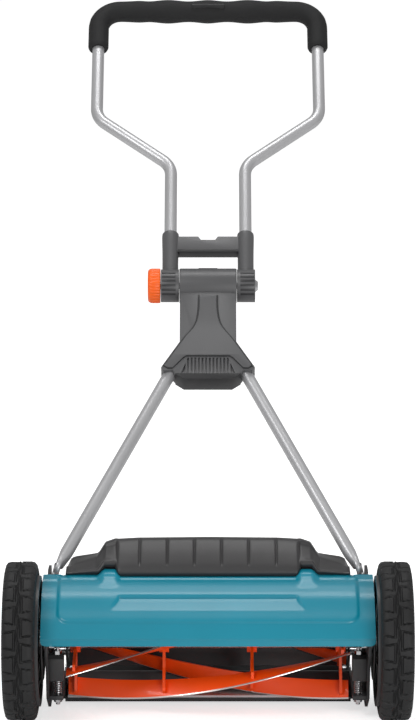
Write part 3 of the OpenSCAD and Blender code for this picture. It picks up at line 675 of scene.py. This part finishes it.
def coil_spring(side):
    """Open coil under each adjuster block."""
    place = Vector((side * 214 * MM, AXLE_Y - 10 * MM, 0))
    low, high, turns, radius, wire = 38.4 * MM, 57.6 * MM, 6, 5 * MM, 0.95 * MM
    rings = []
    steps = turns * 24
    for i in range(steps + 1):
        t = i / steps
        a = 2 * math.pi * turns * t
        centre = place + Vector((radius * math.cos(a), radius * math.sin(a), low + (high - low) * t))
        out = Vector((math.cos(a), math.sin(a), 0))
        rings.append([centre + out * wire * math.cos(k * math.pi / 5)
                      + Vector((0, 0, wire * math.sin(k * math.pi / 5))) for k in range(10)])
    obj = loft("adjuster_spring_" + ("right" if side > 0 else "left"), rings)
    return stand_for(settle(obj), "mower_frame", "zinc_steel", "adjuster_springs")


# ---- Handle bracket and fold joint ----
def flat_plate(name, outline, out_low, out_high, ease_by=0.8):
    """A plate drawn in the handle's plane and given a thickness and eased edges."""
    deselect()
    bpy.ops.mesh.primitive_circle_add(vertices=len(outline), radius=1, fill_type="NGON")
    obj = bpy.context.object
    obj.name = name
    for vert, (x, up) in zip(obj.data.vertices, outline):
        vert.co = on_handle(x * MM, out_high * MM, up * MM)
    bpy.ops.object.mode_set(mode="EDIT")
    bpy.ops.mesh.select_all(action="SELECT")
    shift = on_handle(0, out_low * MM, 0) - on_handle(0, out_high * MM, 0)
    bpy.ops.mesh.extrude_region_move(TRANSFORM_OT_translate={"value": shift})
    bpy.ops.mesh.select_all(action="SELECT")
    bpy.ops.mesh.normals_make_consistent(inside=False)
    bpy.ops.object.mode_set(mode="OBJECT")
    use(obj, "BEVEL", "ease", width=ease_by * MM, segments=3, limit_method="ANGLE", angle_limit=math.radians(50))
    return settle(obj, 40)


def mirrored(half):
    return half + [(-x, up) for x, up in reversed(half)]


def hourglass(narrow, wide):
    """Half outline of the raised panel: slim under the joint, spreading to the two legs."""
    curve = rounded([Vector((narrow, 470)), Vector((narrow + 0.6, 441)), Vector((narrow + 6, 416)),
                     Vector((wide - 18, 392)), Vector((wide - 3, 368)), Vector((wide + 12, 344))], 6)
    return [(p.x, p.y) for p in curve]


def bracket_panels():
    low = [(60, 339), (53, 339), (37, 357), (32, 360.5)]
    # Painted shade: the black plate behind the grey panel shows as a dark border standing for the panel's shaded
    # side wall.
    rim = flat_plate("bracket_panel_painted_shade_rim", mirrored(hourglass(15.5, 56) + low), -17.4, -15.6, 0.6)
    stand_for(rim, "mower_frame", "joint_black")
    low = [(60, 340.5), (52.5, 340.5), (37, 358.7), (32, 362)]
    panel = flat_plate("bracket_panel", mirrored(hourglass(12.8, 53.2) + low), -18.6, -17.2, 0.7)
    stand_for(panel, "mower_frame", "joint_grey")
    outline = [(-36, 321.4), (36, 321.4), (49, 330.5), (49, 331.5), (-49, 331.5), (-49, 330.5)]
    lip = flat_plate("bracket_low_lip", outline, -16.5, 15.5, 1.2)
    stand_for(lip, "mower_frame", "joint_black")


def along_x(name, profile, centre, steps=64):
    """Turns a profile of (place along X, radius) in mm about an axis through a point."""
    rings = []
    for x, r in profile:
        rings.append([Vector((x * MM, centre.y + r * MM * math.sin(2 * math.pi * k / steps),
                              centre.z + r * MM * math.cos(2 * math.pi * k / steps))) for k in range(steps)])
    return loft(name, rings)


def barrel():
    end = [(-43.4, 24), (-43.4, 25.6), (-42.6, 26.3), (-41, 26.5)]
    shape = end + [(-x, r) for x, r in reversed(end)]
    stand_for(settle(along_x("hinge_barrel_body", shape, FOLD_AXIS)), "mower_frame", "joint_grey", "hinge_barrel")
    crown = [(-17, 522.5), (17, 522.5), (13.5, 525.4), (-13.5, 525.4)]
    stand_for(flat_plate("hinge_barrel_crown", crown, -8, 8, 0.7), "mower_frame", "joint_grey")


def cap_slot_shades():
    """Black blocks set into the ribbed ends of the fold joint as painted shade, standing for the shade inside
    their slots.
    """
    for side, word in ((-1, "left"), (1, "right")):
        for k in range(6):
            angle = math.radians(28 + k * 16)
            deselect()
            bpy.ops.mesh.primitive_cube_add(size=1)
            obj = bpy.context.object
            obj.name = f"yoke_slot_shade_{word}_{k + 1}"
            obj.scale = (21 * MM, 3.4 * MM, 1.6 * MM)
            bpy.ops.object.transform_apply(scale=True)
            use(obj, "BEVEL", "ease", width=0.0004, segments=2)
            way = Vector((0, -math.sin(angle), math.cos(angle)))
            obj.rotation_euler = (angle, 0, 0)
            obj.location = Vector((side * 59.5 * MM, FOLD_AXIS.y, FOLD_AXIS.z)) + way * 24.9 * MM
            stand_for(settle(obj), "upper_handle", "frame_black")


def sockets():
    """Collars round the ends of the upper tube, flared at the mouth."""
    for side, word in ((-1, "left"), (1, "right")):
        line = [Vector((side * NECK_X * MM, z * MM)) for z in (519, 524, 540, 560, 575, 587, 591, 592.4)]
        radii = {0: 12.2, 5: 12.2, 21: 12.2, 41: 12.4, 56: 12.8, 68: 13, 72: 12.6, 73.4: 11}

        def section(s, p):
            size = along_line(sorted(radii.items()), s / MM) * MM
            return size, size

        obj = handle_sweep(f"yoke_collar_{word}", line, section, 40)
        stand_for(settle(obj, 40), "upper_handle", "joint_grey")


def crossbar_edge():
    obj = flat_plate("yoke_crossbar_foot", [(-46, 554.5), (46, 554.5), (46, 560), (-46, 560)], -8, 8, 0.8)
    stand_for(obj, "upper_handle", "joint_black")


def clamp_knob():
    """Turned knob with fine grooves round its rim and a chamfered face."""
    centre = FOLD_AXIS
    profile = [(-72.4, 20), (-72.4, 25.6), (-73.4, 26.4), (-84, 26.4), (-87.5, 26), (-90.2, 24.2),
               (-91.2, 22), (-91.4, 17), (-89.6, 15.5), (-89.4, 9), (-89.6, 3)]
    steps = 288
    rings = []
    for x, r in profile:
        ring = []
        for k in range(steps):
            groove = 0.75 * (1 - ease(abs((k % 9) - 4.5), 1, 2.4)) * ease(r, 24, 25.5)
            a = 2 * math.pi * k / steps
            ring.append(Vector((x * MM, centre.y + (r - groove) * MM * math.sin(a),
                                centre.z + (r - groove) * MM * math.cos(a))))
        rings.append(ring)
    stand_for(settle(loft("clamp_knob_grooved", rings), 50), "knob", "knob_orange", "clamp_knob")


# ---- The whole machine ----
camera()
studio()
pale_floor()
dress_cad_nodes()
top_cover()
rear_hood()
for side, word in ((-1, "left"), (1, "right")):
    tyre(side, f"tyre_{word}", f"wheel_{word}")
    handle_tube(side, f"handle_tube_{word}")
    coil_spring(side)
for number in range(5):
    blade(number)
handle_bow()
foam_grip()
badge_pad()
bracket_panels()
barrel()
cap_slot_shades()
sockets()
crossbar_edge()
clamp_knob()
for name, width in (("bracket_front", 1.2), ("bracket_back", 1.2), ("handle_yoke", 1.0), ("adjuster_blocks", 1.0),
                    ("bedknife_carrier", 0.8), ("side_plate_left", 0.5), ("side_plate_right", 0.5),
                    ("deflector", 0.5), ("roller_bracket_left", 0.5), ("roller_bracket_right", 0.5)):
    eased_copy(name, width * MM)
